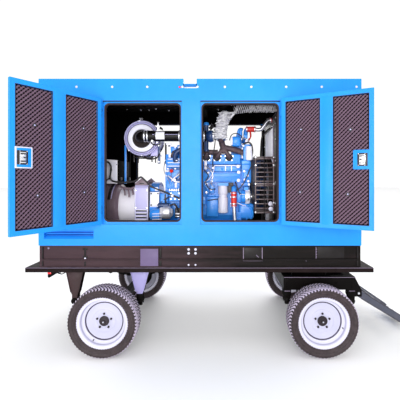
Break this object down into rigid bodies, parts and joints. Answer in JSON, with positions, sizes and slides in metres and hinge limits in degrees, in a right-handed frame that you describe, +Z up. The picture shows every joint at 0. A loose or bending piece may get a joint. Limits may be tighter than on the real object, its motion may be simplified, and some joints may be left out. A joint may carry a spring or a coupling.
{
  "type": "towable diesel generator",
  "caption": "Enclosed diesel generating set on a four-wheel drawbar trailer, with hinged side doors standing open to show the engine and generator.",
  "frame": {"origin": "on the ground, under the middle of the whole object's length and width", "axes": "+X towards the drawbar (front), +Y to the left-hand side, +Z up"},
  "size_m": [3.5914, 2.4396, 2.339],
  "materials": {
    "canopy_blue": "gloss sky-blue paint",
    "chassis_black": "satin near-black paint",
    "engine_blue": "gloss blue engine paint",
    "grey_paint": "semi-gloss light grey paint",
    "bare_steel": "bright machined steel",
    "cast_iron": "dull dark cast iron",
    "black_rubber": "dull black rubber",
    "tyre_rubber": "dusty grey-black rubber",
    "white_paint": "gloss white paint",
    "red_silicone": "satin red silicone rubber",
    "exhaust_wrap": "silvery woven heat wrap",
    "red_plastic": "gloss red plastic",
    "black_plastic": "matte black plastic"
  },
  "bodies": {
    "trailer": {"trailer_frame": "chassis_black", "tail_light_bar": "chassis_black", "base_frame": "chassis_black", "fuel_tank": "chassis_black", "fan_guard": "chassis_black", "radiator": "chassis_black", "canopy_front": "canopy_blue", "canopy_rear": "canopy_blue", "canopy_roof": "canopy_blue", "canopy_right": "canopy_blue", "canopy_left": "canopy_blue", "engine_block": "engine_blue", "valve_cover": "engine_blue", "oil_sump": "engine_blue", "charge_alternator": "bare_steel", "muffler": "bare_steel", "starter_motor": "bare_steel", "battery": "black_plastic", "drive_belt": "black_rubber", "intake_pipe": "black_rubber", "wiring_harness": "black_rubber", "exhaust_manifold": "cast_iron", "exhaust_pipe": "exhaust_wrap", "air_filter": "grey_paint", "generator_housing": "grey_paint", "terminal_box": "grey_paint", "control_cabinet": "grey_paint", "oil_filter": "white_paint", "coolant_hose_upper": "red_silicone", "coolant_hose_lower": "red_silicone", "leaf_spring_right_rear": "chassis_black", "leaf_spring_left_rear": "chassis_black"},
    "steering": {"steering_frame": "chassis_black", "leaf_spring_right_front": "chassis_black", "leaf_spring_left_front": "chassis_black"},
    "drawbar": {"drawbar": "chassis_black"},
    "rear_axle": {"rear_axle": "chassis_black"},
    "front_axle": {"front_axle": "chassis_black"},
    "crankshaft": {"crankshaft": "bare_steel"},
    "fan": {"cooling_fan": "black_plastic"},
    "alternator_rotor": {"alternator_pulley": "bare_steel"},
    "stop_button": {"stop_button": "red_plastic"},
    "key_switch": {"key_switch": "bare_steel"},
    "fuel_cap": {"fuel_cap": "black_plastic"},
    "wheel_right_rear": {"rim_right_rear": "white_paint", "tyre_right_rear": "tyre_rubber"},
    "wheel_right_front": {"rim_right_front": "white_paint", "tyre_right_front": "tyre_rubber"},
    "wheel_left_rear": {"rim_left_rear": "white_paint", "tyre_left_rear": "tyre_rubber"},
    "wheel_left_front": {"rim_left_front": "white_paint", "tyre_left_front": "tyre_rubber"},
    "door_right_rear": {"door_right_rear": "canopy_blue"},
    "handle_right_rear": {"door_handle_right_rear": "black_plastic"},
    "door_right_front": {"door_right_front": "canopy_blue"},
    "handle_right_front": {"door_handle_right_front": "black_plastic"},
    "door_left_rear": {"door_left_rear": "canopy_blue"},
    "handle_left_rear": {"door_handle_left_rear": "black_plastic"},
    "door_left_front": {"door_left_front": "canopy_blue"},
    "handle_left_front": {"door_handle_left_front": "black_plastic"}
  },
  "joints": [
    {"name": "rear_suspension", "type": "slide", "parent": "trailer", "child": "rear_axle", "axis": [0, 0, 1], "range_m": [-0.03, 0.03], "stiffness_N_per_m": 300000, "springref_m": -0.04206, "deforming": ["leaf_spring_right_rear", "leaf_spring_left_rear"]},
    {"name": "turntable_yaw", "type": "hinge", "parent": "trailer", "child": "steering", "pos_m": [0.74631, 0, 0.63], "axis": [0, 0, 1], "range_deg": [-45, 45]},
    {"name": "front_suspension", "type": "slide", "parent": "steering", "child": "front_axle", "axis": [0, 0, 1], "range_m": [-0.03, 0.03], "stiffness_N_per_m": 300000, "springref_m": -0.03071, "deforming": ["leaf_spring_right_front", "leaf_spring_left_front"]},
    {"name": "drawbar_pitch", "type": "hinge", "parent": "steering", "child": "drawbar", "pos_m": [1.13031, 0, 0.45], "axis": [0, -1, 0], "range_deg": [0, 50]},
    {"name": "wheel_right_rear_spin", "type": "hinge", "parent": "rear_axle", "child": "wheel_right_rear", "pos_m": [-1.06969, -0.672, 0.288], "axis": [0, 1, 0], "continuous": true},
    {"name": "wheel_right_front_spin", "type": "hinge", "parent": "front_axle", "child": "wheel_right_front", "pos_m": [0.74631, -0.672, 0.288], "axis": [0, 1, 0], "continuous": true},
    {"name": "wheel_left_rear_spin", "type": "hinge", "parent": "rear_axle", "child": "wheel_left_rear", "pos_m": [-1.06969, 0.672, 0.288], "axis": [0, 1, 0], "continuous": true},
    {"name": "wheel_left_front_spin", "type": "hinge", "parent": "front_axle", "child": "wheel_left_front", "pos_m": [0.74631, 0.672, 0.288], "axis": [0, 1, 0], "continuous": true},
    {"name": "door_right_rear_hinge", "type": "hinge", "parent": "trailer", "child": "door_right_rear", "pos_m": [-1.13069, -0.604, 1.619], "axis": [0, 0, -1], "range_deg": [-124, 46]},
    {"name": "handle_right_rear_lift", "type": "hinge", "parent": "door_right_rear", "child": "handle_right_rear", "pos_m": [-1.48801, -1.13376, 1.657], "axis": [0.5592, 0.829, 0], "range_deg": [0, 35], "stiffness_Nm_per_rad": 0.5},
    {"name": "door_right_front_hinge", "type": "hinge", "parent": "trailer", "child": "door_right_front", "pos_m": [0.41731, -0.604, 1.619], "axis": [0, 0, 1], "range_deg": [-153, 17]},
    {"name": "handle_right_front_lift", "type": "hinge", "parent": "door_right_front", "child": "handle_right_front", "pos_m": [0.98666, -0.8941, 1.657], "axis": [0.891, -0.454, 0], "range_deg": [0, 35], "stiffness_Nm_per_rad": 0.5},
    {"name": "door_left_rear_hinge", "type": "hinge", "parent": "trailer", "child": "door_left_rear", "pos_m": [-1.13069, 0.604, 1.619], "axis": [0, 0, 1], "range_deg": [-124, 46]},
    {"name": "handle_left_rear_lift", "type": "hinge", "parent": "door_left_rear", "child": "handle_left_rear", "pos_m": [-1.48801, 1.13376, 1.657], "axis": [-0.5592, 0.829, 0], "range_deg": [0, 35], "stiffness_Nm_per_rad": 0.5},
    {"name": "door_left_front_hinge", "type": "hinge", "parent": "trailer", "child": "door_left_front", "pos_m": [0.41731, 0.604, 1.619], "axis": [0, 0, -1], "range_deg": [-153, 17]},
    {"name": "handle_left_front_lift", "type": "hinge", "parent": "door_left_front", "child": "handle_left_front", "pos_m": [0.98666, 0.8941, 1.657], "axis": [-0.891, -0.454, 0], "range_deg": [0, 35], "stiffness_Nm_per_rad": 0.5},
    {"name": "crankshaft_spin", "type": "hinge", "parent": "trailer", "child": "crankshaft", "pos_m": [-0.27969, 0, 1.187], "axis": [1, 0, 0], "continuous": true},
    {"name": "fan_spin", "type": "hinge", "parent": "trailer", "child": "fan", "pos_m": [0.33231, 0, 1.415], "axis": [1, 0, 0], "continuous": true},
    {"name": "alternator_spin", "type": "hinge", "parent": "trailer", "child": "alternator_rotor", "pos_m": [0.20531, -0.28, 1.3], "axis": [1, 0, 0], "continuous": true},
    {"name": "stop_button_push", "type": "slide", "parent": "trailer", "child": "stop_button", "axis": [1, 0, 0], "range_m": [0, 0.004], "stiffness_N_per_m": 500},
    {"name": "key_turn", "type": "hinge", "parent": "trailer", "child": "key_switch", "pos_m": [-1.67969, -0.06, 1.6], "axis": [1, 0, 0], "range_deg": [0, 90]},
    {"name": "fuel_cap_turn", "type": "hinge", "parent": "trailer", "child": "fuel_cap", "pos_m": [-0.87969, 0.43, 0.97], "axis": [0, 0, 1], "range_deg": [0, 90]}
  ],
  "couplings": [
    {"joint": "fan_spin", "follows": "crankshaft_spin", "ratio": 1.25},
    {"joint": "alternator_spin", "follows": "crankshaft_spin", "ratio": 2.0833}
  ]
}
